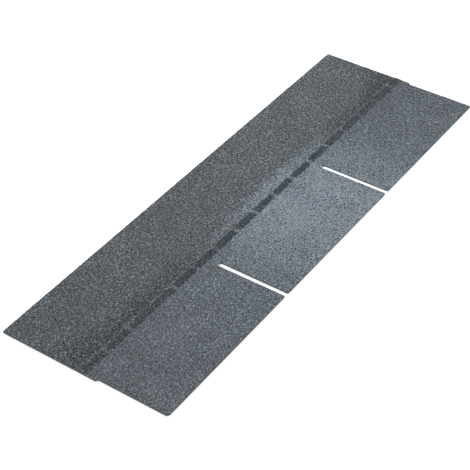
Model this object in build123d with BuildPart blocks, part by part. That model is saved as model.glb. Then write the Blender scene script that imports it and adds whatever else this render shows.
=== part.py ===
from build123d import *
import math
import os

# A three-tab asphalt strip shingle, lying flat with its granule face up.
# X runs along the strip, the tabs point to -Y and Z = 0 is the underside.
# Sizes are in millimetres.

# Sheet: an asphalt-coated glass mat, cut from its web as one piece
sheet_length = 914.4
sheet_depth = 304.8
sheet_thickness = 3.0
corner_radius = 1.0
worn_corner_radius = 6.0  # the lower left corner is rubbed round
blunt_corner_radius = 3.5  # and less so the right tab's inner corner and the upper right corner

# Tabs: round-ended cut-outs part the lower half, and half a narrower one trims each end
tab_count = 3
cutout_length = 127.0
cutout_width = 9.0
end_cut_width = 4.0

# Self-seal adhesive: a row of dashes printed along the web and cut off with the sheet
dash_length = 47.25
dash_width = 12.7
dash_height = 0.8
dash_gap = 8.0
dash_row_rise = 24.6  # from the top of the cut-outs to the middle of the row
dash_corner_radius = 3.5
dash_shoulder = 0.4

# Where things lie
butt_edge = -sheet_depth / 2
tab_pitch = sheet_length / tab_count
cutout_top = butt_edge + cutout_length
dash_pitch = dash_length + dash_gap
dash_start = (dash_gap - sheet_length) / 2  # the left end is cut through the middle of a gap
dash_row = cutout_top + dash_row_rise
# A dash that would keep less than a gap's length at the right end is not there
dash_count = math.ceil((sheet_length / 2 - dash_gap - dash_start) / dash_pitch)

os.makedirs("parts", exist_ok=True)

with BuildPart() as sheet:
    with BuildSketch() as outline:
        Rectangle(sheet_length, sheet_depth)
        # Each cut runs on past the lower edge by its own width, so only its top end is round
        with Locations((0, cutout_top)):
            with GridLocations(tab_pitch, 0, tab_count - 1, 1):
                SlotOverall(
                    cutout_length + cutout_width,
                    cutout_width,
                    rotation=90,
                    align=(Align.MAX, Align.CENTER),
                    mode=Mode.SUBTRACT,
                )
            with GridLocations(sheet_length, 0, 2, 1):
                SlotOverall(
                    cutout_length + 2 * end_cut_width,
                    2 * end_cut_width,
                    rotation=90,
                    align=(Align.MAX, Align.CENTER),
                    mode=Mode.SUBTRACT,
                )
        # Corners from left to right: the crisp ones first, then the two blunt ones, then the worn one
        rows = outline.vertices().group_by(Axis.Y)
        lower, upper = rows[0].sort_by(Axis.X), rows[-1].sort_by(Axis.X)
        fillet(lower[1:-2] + lower[-1:] + upper[:1], radius=corner_radius)
        rows = outline.vertices().group_by(Axis.Y)
        lower, upper = rows[0].sort_by(Axis.X), rows[-1].sort_by(Axis.X)
        fillet([lower[-2], upper[-1]], radius=blunt_corner_radius)
        lower = outline.vertices().group_by(Axis.Y)[0].sort_by(Axis.X)
        fillet(lower[0], radius=worn_corner_radius)
    extrude(amount=sheet_thickness)
sheet.part.label = "shingle_sheet"
export_step(sheet.part, "parts/shingle_sheet.step")

for number in range(dash_count):
    left = dash_start + number * dash_pitch
    cut_off = left + dash_length > sheet_length / 2
    dash_name = "seal_dash_end" if cut_off else f"seal_dash_{number + 1:02d}"
    with BuildPart() as dash:
        with BuildSketch(Plane.XY.offset(sheet_thickness)):
            with Locations((left + dash_length / 2, dash_row)):
                RectangleRounded(dash_length, dash_width, dash_corner_radius)
        extrude(amount=dash_height)
        chamfer(dash.edges().group_by(Axis.Z)[-1], length=dash_shoulder)
        if cut_off:
            split(bisect_by=Plane.YZ.offset(sheet_length / 2), keep=Keep.BOTTOM)
    dash.part.label = dash_name
    export_step(dash.part, f"parts/{dash_name}.step")
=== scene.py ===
import math

import bmesh
import bpy
import numpy as np
from mathutils import Matrix, Vector, noise


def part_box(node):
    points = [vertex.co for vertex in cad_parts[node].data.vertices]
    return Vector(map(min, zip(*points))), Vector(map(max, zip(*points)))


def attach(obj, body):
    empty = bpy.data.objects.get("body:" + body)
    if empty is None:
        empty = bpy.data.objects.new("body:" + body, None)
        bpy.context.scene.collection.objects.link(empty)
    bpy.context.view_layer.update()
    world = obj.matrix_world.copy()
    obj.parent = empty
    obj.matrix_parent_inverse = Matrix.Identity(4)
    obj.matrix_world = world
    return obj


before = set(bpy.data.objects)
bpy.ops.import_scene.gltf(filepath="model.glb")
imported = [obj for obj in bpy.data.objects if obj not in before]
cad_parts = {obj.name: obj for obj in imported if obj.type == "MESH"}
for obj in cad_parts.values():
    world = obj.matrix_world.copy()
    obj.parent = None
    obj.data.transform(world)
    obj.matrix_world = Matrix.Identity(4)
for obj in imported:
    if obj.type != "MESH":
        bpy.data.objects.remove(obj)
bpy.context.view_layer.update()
mm = 0.001
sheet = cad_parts["shingle_sheet"]
sheetLow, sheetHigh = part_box("shingle_sheet")
dashNames = sorted(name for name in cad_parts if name.startswith("seal_dash"))
mixA, mixB, mixed = 6, 7, 2   # sockets of a Mix node: its two colours, and where they come out
print("frame loaded:", len(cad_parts), "nodes")


# sRGB hex to the linear values that sockets take
def toLinear(hexColour):
    parts = [int(hexColour[i:i + 2], 16) / 255 for i in (1, 3, 5)]
    return [p / 12.92 if p <= 0.04045 else ((p + 0.055) / 1.055) ** 2.4 for p in parts] + [1.0]


def addNode(tree, kind, settings=None, links=None):
    node = tree.nodes.new("ShaderNode" + kind)
    for name, value in (settings or {}).items():
        if isinstance(name, int) or name in node.inputs:
            node.inputs[name].default_value = value
        else:
            setattr(node, name, value)
    for name, source in (links or {}).items():
        tree.links.new(source, node.inputs[name])
    return node


# Settings of a Map Range node: both ends of what goes in (From) or of what comes out (To)
def mapEnds(side, ends):
    return {side + " Min": ends[0], side + " Max": ends[1]}


def newMaterial(name):
    material = bpy.data.materials.new(name)
    material.use_nodes = True
    material.node_tree.nodes.clear()
    return material, material.node_tree


def dress(obj, material):
    obj.data.materials.clear()
    obj.data.materials.append(material)


# Asphalt coating: oxidised bitumen filled with stone dust, rolled onto a glass mat.
# Its upper face is bedded with granule fines, which show as a dull speckled ground between the chips.
# The cut edges show the same grains, and the underside is dusted with fine sand so that sheets don't stick.
coating = {
    "bitumen": "#303336",
    "fines": "#7b8186",        # the lightest of the fines
    "paleFines": "#a4b0bc",    # the same where the pale chips lie
    "finesSize": 1.2 * mm,
    "finesDepth": 0.3 * mm,
    "finesBump": 0.5,
    "cut": "#38393a",
    "back": "#3b3a39",
    "sand": "#8a857b",
    "sandSize": 1.6 * mm,      # real sand is 0.3 mm: drawn coarser so that it shows
    "sandRim": (0.28, 0.12),   # of that size from a grain's middle, where it starts and where it is full
    "roughness": (0.7, 0.92),  # of the bitumen and of the grains in it
    "specular": 0.3,
    "faceSkin": 0.05 * mm,     # how near to a face counts as that face
    "paleMiddle": (65 * mm, 0, 0),
    "paleReach": (340 * mm, 1000, 1000),   # so far in Y and Z that only X counts
    "paleTop": (32 * mm, 20 * mm),         # where it starts and where it is full
}


def coatingMaterial():
    material, tree = newMaterial("asphaltCoatingRolled")
    place = addNode(tree, "TexCoord").outputs["Object"]
    split = addNode(tree, "SeparateXYZ", links={0: place})
    onTop = addNode(tree, "Math", {"operation": "GREATER_THAN", 1: sheetHigh.z - coating["faceSkin"]},
                    {0: split.outputs["Z"]})
    onBack = addNode(tree, "Math", {"operation": "LESS_THAN", 1: coating["faceSkin"]},
                     {0: split.outputs["Z"]})

    # Fines: every cell is one small grain with a tone of its own
    fines = addNode(tree, "TexVoronoi", {"Scale": 1 / coating["finesSize"]}, {"Vector": place})
    tone = addNode(tree, "SeparateColor", links={0: fines.outputs["Color"]})
    along = addNode(tree, "Mapping", {"vector_type": "TEXTURE", "Location": coating["paleMiddle"],
                                      "Scale": coating["paleReach"]}, {"Vector": place})
    hump = addNode(tree, "TexGradient", {"gradient_type": "SPHERICAL"}, {"Vector": along.outputs[0]})
    smooth = {"interpolation_type": "SMOOTHSTEP"}
    rise = addNode(tree, "MapRange", smooth, {"Value": hump.outputs["Fac"]})
    below = addNode(tree, "MapRange", smooth | mapEnds("From", coating["paleTop"]),
                    {"Value": split.outputs["Y"]})
    pale = addNode(tree, "Math", {"operation": "MULTIPLY"}, {0: rise.outputs[0], 1: below.outputs[0]})
    grain = addNode(tree, "Mix", {"data_type": "RGBA", mixA: toLinear(coating["fines"]),
                                  mixB: toLinear(coating["paleFines"])}, {0: pale.outputs[0]})
    ground = addNode(tree, "Mix", {"data_type": "RGBA", mixA: toLinear(coating["bitumen"])},
                     {0: tone.outputs[0], mixB: grain.outputs[mixed]})

    # Cut edge, with the grains that the blade went through, and sanded back
    cut = addNode(tree, "Mix", {"data_type": "RGBA", mixA: toLinear(coating["cut"])},
                  {0: tone.outputs[0], mixB: grain.outputs[mixed]})
    sand = addNode(tree, "TexVoronoi", {"Scale": 1 / coating["sandSize"]}, {"Vector": place})
    sanded = addNode(tree, "MapRange", mapEnds("From", coating["sandRim"]),
                     {"Value": sand.outputs["Distance"]})
    back = addNode(tree, "Mix", {"data_type": "RGBA", mixA: toLinear(coating["back"]),
                                 mixB: toLinear(coating["sand"])}, {0: sanded.outputs[0]})
    lower = addNode(tree, "Mix", {"data_type": "RGBA"},
                    {0: onBack.outputs[0], mixA: cut.outputs[mixed], mixB: back.outputs[mixed]})
    colour = addNode(tree, "Mix", {"data_type": "RGBA"},
                     {0: onTop.outputs[0], mixA: lower.outputs[mixed], mixB: ground.outputs[mixed]})

    bump = addNode(tree, "Bump", {"Strength": coating["finesBump"], "Distance": coating["finesDepth"],
                                  "invert": True}, {"Height": fines.outputs["Distance"]})
    rough = addNode(tree, "MapRange", mapEnds("To", coating["roughness"]), {"Value": tone.outputs[0]})
    shader = addNode(tree, "BsdfPrincipled", {"Specular IOR Level": coating["specular"]},
                     {"Base Color": colour.outputs[mixed], "Normal": bump.outputs[0],
                      "Roughness": rough.outputs[0]})
    addNode(tree, "OutputMaterial", links={"Surface": shader.outputs[0]})
    return material


dress(sheet, coatingMaterial())
print("sheet dressed")

# Self-seal adhesive: soft modified bitumen laid hot on the granules, with a dull skin
# that is a little smoother than the granules, mottled where they press through.
seal = {
    "dark": "#24292d",
    "light": "#4f565c",
    "mottle": 4.0 * mm,
    "mottleDetail": 3.0,
    "mottleSpan": (0.35, 0.65),   # of the noise, from dark to light
    "lump": 1.9 * mm,             # the granules that press through
    "lumpDepth": 0.25 * mm,
    "lumpBump": 0.6,
    "roughness": (0.6, 0.85),
    "specular": 0.12,             # little, because the lumps shade each other
}


def sealMaterial(name, lumpy):
    material, tree = newMaterial(name)
    place = addNode(tree, "TexCoord").outputs["Object"]
    mottle = addNode(tree, "TexNoise", {"Scale": 1 / seal["mottle"], "Detail": seal["mottleDetail"]},
                     {"Vector": place})
    mix = addNode(tree, "MapRange", mapEnds("From", seal["mottleSpan"]), {"Value": mottle.outputs["Fac"]})
    colour = addNode(tree, "Mix", {"data_type": "RGBA", mixA: toLinear(seal["dark"]),
                                   mixB: toLinear(seal["light"])}, {0: mix.outputs[0]})
    rough = addNode(tree, "MapRange", mapEnds("To", seal["roughness"]), {"Value": mix.outputs[0]})
    shader = addNode(tree, "BsdfPrincipled", {"Specular IOR Level": seal["specular"]},
                     {"Base Color": colour.outputs[mixed], "Roughness": rough.outputs[0]})
    if lumpy:
        lump = addNode(tree, "TexVoronoi", {"Scale": 1 / seal["lump"]}, {"Vector": place})
        bump = addNode(tree, "Bump", {"Strength": seal["lumpBump"], "Distance": seal["lumpDepth"],
                                      "invert": True}, {"Height": lump.outputs["Distance"]})
        tree.links.new(bump.outputs[0], shader.inputs["Normal"])
    addNode(tree, "OutputMaterial", links={"Surface": shader.outputs[0]})
    return material


sealFinish = sealMaterial("bitumenAdhesiveLaidHot", True)
for name in dashNames:
    dress(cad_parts[name], sealFinish)
print("seal dashes dressed:", len(dashNames))

# Mineral granules: crushed rock chips with a fired ceramic colour coat, pressed into the hot coating.
# Each is matte and of one colour, so the face looks speckled.
granules = {
    "pitch": 1.7 * mm,        # one chip to about 2.5 square millimetres
    "jitterShare": 0.45,      # of the pitch
    "sizes": (1.7 * mm, 2.8 * mm),
    "heightShare": 0.62,      # of the size
    "brokenShare": 0.32,      # how far each corner is off a plain shape
    "raiseShare": 0.12,       # of the size, chip's middle above the coating
    "tilt": math.radians(25),
    "edgeShare": 0.2,         # of the size, kept inside the cut edges
    "rayHeight": 10 * mm,     # above the sheet, where the rays that look for its edges start
    "shapeCount": 24,
    "mixBlock": 5,            # chips along a block that holds an even mix of colours
    "drawEnds": (0.001, 0.999),
    "mottleDetail": 1.0,
    "mottleSpan": (0.3, 0.7),             # of the noise
    "tints": (0.85, 1.15),                # of a chip's colour, over that span
    "roughness": (0.95, 0.75),            # and over the same
    "specular": 0.3,
    "sealOverlap": 0.6 * mm,              # how far chips reach over a dash's border
    "sealStand": (0.2 * mm, 0.65 * mm),   # how far the chips under a dash print through its top
    "sealBorder": 2.0 * mm,               # over which the adhesive thins out
    "sealRagged": 2.0 * mm,               # how uneven its border is
    "sealRaggedSize": 9.0 * mm,
    "sealRaggedSlice": 0,                 # of the noise
    "sealSag": 0.9 * mm,                  # how far its upper border lies towards the tabs
    # The next ones are at the row's left end, in its middle and at its right end
    "lowerSags": (0.4 * mm, 0.4 * mm, 1.2 * mm),   # and its lower border
    "bareShares": (0.32, 0.22, 0.36),     # chips in a dash that are not covered
    "bareDraws": (1.0, 0.75, 0.75),       # and how much of their draw they keep: less is darker
    "smearShares": (0.33, 0.33, 0),       # chips between two dashes that are smeared with it
    "smearReach": (2 * mm, 7 * mm),       # off the middle of the row
    "rowEnds": (120 * mm, 300 * mm),      # from the middle of the sheet
    "seed": 11,
}

# Each colour of chip, from dark to light, and its share of the four blends that were dropped on the web
chipColours = {
    "coalChips": {"colour": "#33393e", "headlap": 0.13, "shade": 0.48, "tabs": 0.05, "pale": 0.02},
    "charcoalChips": {"colour": "#4f565a", "headlap": 0.20, "shade": 0.23, "tabs": 0.11, "pale": 0.05},
    "slateChips": {"colour": "#64696d", "headlap": 0.23, "shade": 0.14, "tabs": 0.23, "pale": 0.06},
    "greyChips": {"colour": "#7b8185", "headlap": 0.24, "shade": 0.07, "tabs": 0.30, "pale": 0.10},
    "blueChips": {"colour": "#8a97a6", "headlap": 0.05, "shade": 0.02, "tabs": 0.21, "pale": 0.26},
    "ashChips": {"colour": "#9aa0a4", "headlap": 0.11, "shade": 0.04, "tabs": 0.05, "pale": 0.10},
    "paleBlueChips": {"colour": "#b0bfc9", "headlap": 0.02, "shade": 0.01, "tabs": 0.04, "pale": 0.34},
    "whiteChips": {"colour": "#c4c8ca", "headlap": 0.02, "shade": 0.01, "tabs": 0.01, "pale": 0.07},
}

# Where the blends lie: the pale one was dropped round the middle tab, and a darker line of chips
# lies above the adhesive at both ends
drops = {
    "rowLine": (-1 * mm, 1 * mm),         # where the headlap's blend takes over from the tabs'
    "paleMiddles": (65 * mm, 82 * mm),    # below and above the adhesive
    "paleSpread": (190 * mm, 150 * mm),   # to the left and to the right
    "paleTop": (10 * mm, 30 * mm),        # it fades out above the adhesive
    "paleTopRise": 10 * mm,               # and reaches higher in the middle
    "paleAboveShare": 0.79,               # it lies thinner above the adhesive
    "paleAbovePower": 2.0,                # and narrower
    "patchSize": 6 * mm,                  # and in patches
    "patchSlice": 505.5,                  # of the noise
    "patchShare": 0.8,
    "shadeFoot": (4 * mm, 14 * mm),       # the darker line starts a little above the adhesive
    # Where it fades out, and how much higher at the sheet's end
    "shadeLeft": (11 * mm, 48 * mm, 60 * mm),
    "shadeRight": (11 * mm, 36 * mm, 60 * mm),
    "shadeWiden": (370 * mm, 445 * mm),   # from the middle, where it gets higher
    "shadeStarts": ((60 * mm, 290 * mm), (215 * mm, 275 * mm)),   # from the middle, to the left and right
    "raggedness": (8 * mm, 5 * mm),       # of the pale drop and of the darker line
    "raggedSize": 28 * mm,
    "raggedSlice": 638.4,                 # of the noise
    # How far each mix drifts, and in what sizes of cloud, each with its slice of the noise
    "driftShares": {"headlap": 0.055, "shade": 0.045, "tabs": 0.06, "pale": 0.11},
    "drifts": {10 * mm: 10.0, 22 * mm: 476.8, 45 * mm: 965.9, 90 * mm: 46.6},
    "dimShares": (0.03, 0.08),            # the mix is darker below the adhesive, less so on the left tab
    "dimReach": 45 * mm,
    "dimStart": (-220 * mm, -120 * mm),   # where the left tab's share gives way to the other
}


def fade(value, start, end):
    t = np.clip((value - start) / (end - start), 0, 1)
    return t * t * (3 - 2 * t)


# Soft clouds of one size, from -1 to 1, at one slice through the noise
def clouds(x, y, size, cut):
    return np.array([noise.noise(Vector((a / size, b / size, cut))) for a, b in zip(x, y)])


def paleHump(x, middle):
    off = x - middle
    return np.exp(-(off / np.where(off < 0, *drops["paleSpread"])) ** 2)


# How much of each blend lies at each place
def blendWeights(x, y):
    ragged = clouds(x, y, drops["raggedSize"], drops["raggedSlice"])
    patches = clouds(x, y, drops["patchSize"], drops["patchSlice"]) * drops["patchShare"]
    paleY, shadeY = (y + ragged * reach for reach in drops["raggedness"])
    aboveRow = fade(y, *drops["rowLine"])
    middleBelow, middleAbove = drops["paleMiddles"]
    hump = paleHump(x, middleBelow + (middleAbove - middleBelow) * aboveRow)
    pale = hump * (1 - fade(paleY - hump * drops["paleTopRise"], *drops["paleTop"]))
    thinner = drops["paleAboveShare"] * hump ** (drops["paleAbovePower"] - 1)
    pale *= 1 - aboveRow * (1 - np.clip(thinner * (1 + patches), 0, 1))
    sides = zip(drops["shadeLeft"], drops["shadeRight"])
    fadeStart, fadeEnd, rise = (np.where(x < 0, left, right) for left, right in sides)
    fadeEnd = fadeEnd + rise * fade(np.abs(x), *drops["shadeWiden"])
    shade = fade(y, *drops["shadeFoot"]) * (1 - fade(shadeY, fadeStart, fadeEnd))
    toLeft, toRight = drops["shadeStarts"]
    shade *= np.where(x < 0, fade(-x, *toLeft), fade(x, *toRight)) * (1 - pale)
    rest = 1 - pale - shade
    return {"pale": pale, "shade": shade, "headlap": rest * aboveRow, "tabs": rest * (1 - aboveRow)}


# How far the draw of colour moves, because the hoppers ran a little lighter and darker
def mixDrift(x, y, weights):
    drift = np.zeros(len(x))
    for size, cut in drops["drifts"].items():
        drift += clouds(x, y, size, cut)
    dimLeft, dimRight = drops["dimShares"]
    dim = dimLeft + (dimRight - dimLeft) * fade(x, *drops["dimStart"])
    dim *= np.where(y < 0, 1 - fade(-y, 0, drops["dimReach"]), 0)
    share = sum(weights[drop] * drops["driftShares"][drop] for drop in weights)
    return drift * share - dim


# Chips broken out of eight-sided beads, each of a unit size
def breakChips(rng):
    corners = []
    for _ in range(granules["shapeCount"]):
        bm = bmesh.new()
        bmesh.ops.create_uvsphere(bm, u_segments=4, v_segments=2, radius=0.5)
        for vert in bm.verts:
            vert.co += Vector(rng.uniform(-0.5, 0.5, 3)) * granules["brokenShare"]
        bmesh.ops.scale(bm, vec=(1, 1, granules["heightShare"]), verts=bm.verts)
        bm.verts.index_update()
        corners.append([vert.co[:] for vert in bm.verts])
        faces = [[vert.index for vert in face.verts] for face in bm.faces]
        bm.free()
    return np.array(corners), np.array(faces)


# Even draws from 0 to 1 in every block of chips, because the granules are well mixed before they fall
def mixDraws(rng, shape):
    block = granules["mixBlock"]
    rows, columns = (-(-n // block) for n in shape)
    ranks = rng.random((rows, columns, block * block)).argsort(-1).reshape(rows, columns, block, block)
    ranks = ranks.transpose(0, 2, 1, 3).reshape(rows * block, columns * block)[:shape[0], :shape[1]]
    return (ranks + rng.random(shape)) / block ** 2


# A value that changes from the row's left end to its middle and on to its right end
def alongRow(x, left, middle, right):
    toLeft, toRight = (fade(side * x, *granules["rowEnds"]) for side in (-1, 1))
    return middle + (left - middle) * toLeft + (right - middle) * toRight


# Whether a chip lies inside the cut edges: rays from above meet the sheet on its four sides
def onSheet(x, y, reach):
    above = sheetHigh.z + granules["rayHeight"]
    spots = ((x - reach, y), (x + reach, y), (x, y - reach), (x, y + reach))
    return all(sheet.ray_cast((a, b, above), (0, 0, -1))[0] for a, b in spots)


# Places on the sheet for every chip, off the cut-outs, with its draw of colour.
# A draw of 0 is a chip that is covered with adhesive.
def scatterChips(rng):
    pitch = granules["pitch"]
    columns = np.arange(sheetLow.x, sheetHigh.x, pitch)
    rows = np.arange(sheetLow.y, sheetHigh.y, pitch * math.sqrt(0.75))
    x, y = np.meshgrid(columns, rows)
    x[1::2] += pitch / 2
    draw = mixDraws(rng, x.shape).ravel()
    x = x.ravel() + rng.uniform(-1, 1, x.size) * granules["jitterShare"] * pitch
    y = y.ravel() + rng.uniform(-1, 1, y.size) * granules["jitterShare"] * pitch
    size = rng.uniform(*granules["sizes"], x.size)
    z = sheetHigh.z + size * granules["raiseShare"]
    draw = np.clip(draw + mixDrift(x, y, blendWeights(x, y)), *granules["drawEnds"])

    # How far each chip is outside the nearest dash, and what prints through
    outside = np.full(x.size, np.inf)
    for name in dashNames:
        low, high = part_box(name)
        outside = np.minimum(outside, np.maximum.reduce([low.x - x, x - high.x, low.y - y, y - high.y]))
    onSeal = outside < -granules["sealOverlap"]
    stand = rng.uniform(*granules["sealStand"], x.size)
    z[onSeal] = (high.z + stand - size * granules["heightShare"] / 2)[onSeal]
    draw *= np.where(onSeal, alongRow(x, *granules["bareDraws"]), 1)

    # What the adhesive covers, with an uneven border, and what it smears in the gaps
    outside += clouds(x, y, granules["sealRaggedSize"], granules["sealRaggedSlice"]) * granules["sealRagged"]
    outside += np.where(y > 0, granules["sealSag"], -alongRow(x, *granules["lowerSags"]))
    covered = 1 - alongRow(x, *granules["bareShares"])
    covered *= 1 - fade(outside, -granules["sealBorder"], granules["sealBorder"])
    offRow = np.abs(y - (low.y + high.y) / 2)
    smear = alongRow(x, *granules["smearShares"]) * (1 - fade(offRow, *granules["smearReach"]))
    covered = np.maximum(covered, ~onSeal * smear)
    draw[rng.random(x.size) < covered] = 0
    keep = np.array([onSheet(*chip) for chip in zip(x, y, size * granules["edgeShare"])])
    return x[keep], y[keep], z[keep], size[keep], draw[keep]


def chipMaterial(name, colour):
    material, tree = newMaterial("ceramicCoatedRock_" + name)
    place = addNode(tree, "TexCoord").outputs["Object"]
    mottle = addNode(tree, "TexNoise", {"Scale": 1 / granules["pitch"], "Detail": granules["mottleDetail"]},
                     {"Vector": place})
    span = mapEnds("From", granules["mottleSpan"])
    tint = addNode(tree, "MapRange", span | mapEnds("To", granules["tints"]),
                   {"Value": mottle.outputs["Fac"]})
    shade = addNode(tree, "Mix", {"data_type": "RGBA", "blend_type": "MULTIPLY", 0: 1.0,
                                  mixA: toLinear(colour)}, {mixB: tint.outputs[0]})
    rough = addNode(tree, "MapRange", span | mapEnds("To", granules["roughness"]),
                    {"Value": mottle.outputs["Fac"]})
    shader = addNode(tree, "BsdfPrincipled", {"Specular IOR Level": granules["specular"]},
                     {"Base Color": shade.outputs[mixed], "Roughness": rough.outputs[0]})
    addNode(tree, "OutputMaterial", links={"Surface": shader.outputs[0]})
    return material


def joinChips(name, corners, faces):
    mesh = bpy.data.meshes.new(name)
    count, each = corners.shape[:2]
    allFaces = faces[None] + each * np.arange(count)[:, None, None]
    mesh.from_pydata(corners.reshape(-1, 3).tolist(), [], allFaces.reshape(-1, 3).tolist())
    # A plan view of the sheet, as a map that the colours can be baked through
    flat = corners.reshape(-1, 3)[allFaces.ravel(), :2]
    plan = (flat - np.array(sheetLow.xy)) / np.array(sheetHigh.xy - sheetLow.xy)
    mesh.uv_layers.new(name="OFBake").data.foreach_set("uv", np.clip(plan, 0, 1).ravel())
    piece = bpy.data.objects.new(name, mesh)
    bpy.context.scene.collection.objects.link(piece)
    return piece


def layGranules():
    rng = np.random.default_rng(granules["seed"])
    shapes, faces = breakChips(rng)
    x, y, z, size, draw = scatterChips(rng)
    count = len(x)
    turn = rng.uniform(0, 2 * math.pi, count)
    tilt = rng.uniform(-1, 1, (2, count)) * granules["tilt"]
    corners = shapes[rng.integers(len(shapes), size=count)] * size[:, None, None]
    # Tilt each chip about X and Y, then turn it about Z
    for angle, a, b in ((tilt[0], 1, 2), (tilt[1], 2, 0), (turn, 0, 1)):
        cos, sin = np.cos(angle)[:, None], np.sin(angle)[:, None]
        first, second = corners[..., a].copy(), corners[..., b].copy()
        corners[..., a] = first * cos - second * sin
        corners[..., b] = first * sin + second * cos
    corners += np.stack([x, y, z], -1)[:, None, :]

    # Each draw picks a colour by the shares of the blends that lie there, and -1 is a covered chip
    weights = blendWeights(x, y)
    chances = np.stack([sum(weights[drop] * chip[drop] for drop in weights) for chip in chipColours.values()])
    limits = np.cumsum(chances / chances.sum(0), 0)
    pick = np.where(draw == 0, -1, (draw > limits[:-1]).sum(0))
    tarred = joinChips("tarredChips", corners[pick == -1], faces)
    dress(tarred, sealMaterial("bitumenAdhesiveOnChips", False))   # the chips are its relief
    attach(tarred, "root")
    print("tarredChips", (pick == -1).sum(), "chips,", len(tarred.data.polygons), "triangles")
    for index, (name, chip) in enumerate(chipColours.items()):
        piece = joinChips(name, corners[pick == index], faces)
        dress(piece, chipMaterial(name, chip["colour"]))
        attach(piece, "root")
        print(name, (pick == index).sum(), "chips,", len(piece.data.polygons), "triangles")


layGranules()

# Floor: white paper, seen as plain white and still taking the shadow.
# Lengths are in metres and the lamp's power in watts.
studio = {
    "floorSize": 8.0,
    "floorDrop": 0.2 * mm,
    "paper": "#f2f2f2",
    "lift": (0.42, 0.55),       # light added for the eye, so that open floor is white: near by and far off
    "liftReach": (0.8, 2.2),    # from the middle of the sheet
    "skyLights": (0.57, 1.0),   # on the object, and as the eye sees it, where 1 is white
    "boxSize": 1.8,
    "boxPlace": (0.7, 0.9, 1.9),
    "boxPower": 34,
}


# 1 where the eye sees a surface, straight on or through gloss or glass, and 0 where it only gives light
def seenByEye(tree):
    path = addNode(tree, "LightPath")
    camera, gloss, glass = (path.outputs[f"Is {ray} Ray"] for ray in ("Camera", "Glossy", "Transmission"))
    straight = addNode(tree, "Math", {"operation": "MAXIMUM"}, {0: camera, 1: gloss})
    return addNode(tree, "Math", {"operation": "MAXIMUM"}, {0: straight.outputs[0], 1: glass}).outputs[0]


def layFloor():
    bm = bmesh.new()
    bmesh.ops.create_grid(bm, x_segments=1, y_segments=1, size=studio["floorSize"] / 2)
    bmesh.ops.translate(bm, vec=(0, 0, -studio["floorDrop"]), verts=bm.verts)
    mesh = bpy.data.meshes.new("paperFloor")
    bm.to_mesh(mesh)
    bm.free()
    floor = bpy.data.objects.new("paperFloor", mesh)
    bpy.context.scene.collection.objects.link(floor)
    material, tree = newMaterial("whitePaper")
    place = addNode(tree, "TexCoord").outputs["Object"]
    far = addNode(tree, "VectorMath", {"operation": "LENGTH"}, {0: place})
    level = addNode(tree, "MapRange", mapEnds("From", studio["liftReach"]) | mapEnds("To", studio["lift"]),
                    {"Value": far.outputs["Value"]})
    lift = addNode(tree, "Math", {"operation": "MULTIPLY"}, {0: seenByEye(tree), 1: level.outputs[0]})
    paper = addNode(tree, "BsdfDiffuse", {"Color": toLinear(studio["paper"])})
    glow = addNode(tree, "Emission", links={"Strength": lift.outputs[0]})
    both = addNode(tree, "AddShader", links={0: paper.outputs[0], 1: glow.outputs[0]})
    addNode(tree, "OutputMaterial", links={"Surface": both.outputs[0]})
    dress(floor, material)


def setLight():
    world = bpy.data.worlds.new("studio")
    bpy.context.scene.world = world
    world.use_nodes = True
    tree = world.node_tree
    tree.nodes.clear()
    level = addNode(tree, "MapRange", mapEnds("To", studio["skyLights"]), {"Value": seenByEye(tree)})
    sky = addNode(tree, "Background", {"Color": (1, 1, 1, 1)}, {"Strength": level.outputs[0]})
    addNode(tree, "OutputWorld", links={"Surface": sky.outputs[0]})
    lamp = bpy.data.lights.new("softbox", "AREA")
    lamp.shape = "SQUARE"
    lamp.size = studio["boxSize"]
    lamp.energy = studio["boxPower"]
    box = bpy.data.objects.new("softbox", lamp)
    box.location = studio["boxPlace"]
    box.rotation_euler = (-Vector(studio["boxPlace"])).to_track_quat("-Z", "Y").to_euler()
    bpy.context.scene.collection.objects.link(box)
    bpy.context.scene.view_settings.view_transform = "Standard"


# The camera that fits the photograph's outline
lens = {
    "place": Vector((-1448.7, -979.7, 1419.4)) * mm,
    "aim": Vector((-73.5, -18.2, 3.0)) * mm,
    "roll": math.radians(-0.563),
    "focal": 104.58,         # millimetres, as the sensor is
    "sensor": 36,
    "shift": (-0.0182, -0.0001),
    "clipEnd": 100,          # metres
}


def setCamera():
    data = bpy.data.cameras.new("camera")
    data.sensor_width = lens["sensor"]
    data.lens = lens["focal"]
    data.shift_x, data.shift_y = lens["shift"]
    data.clip_end = lens["clipEnd"]
    camera = bpy.data.objects.new("camera", data)
    look = (lens["aim"] - lens["place"]).to_track_quat("-Z", "Y").to_matrix()
    turned = look @ Matrix.Rotation(lens["roll"], 3, "Z")
    camera.matrix_world = Matrix.Translation(lens["place"]) @ turned.to_4x4()
    bpy.context.scene.collection.objects.link(camera)
    bpy.context.scene.camera = camera


layFloor()
setLight()
setCamera()
print("floor, light and camera set")
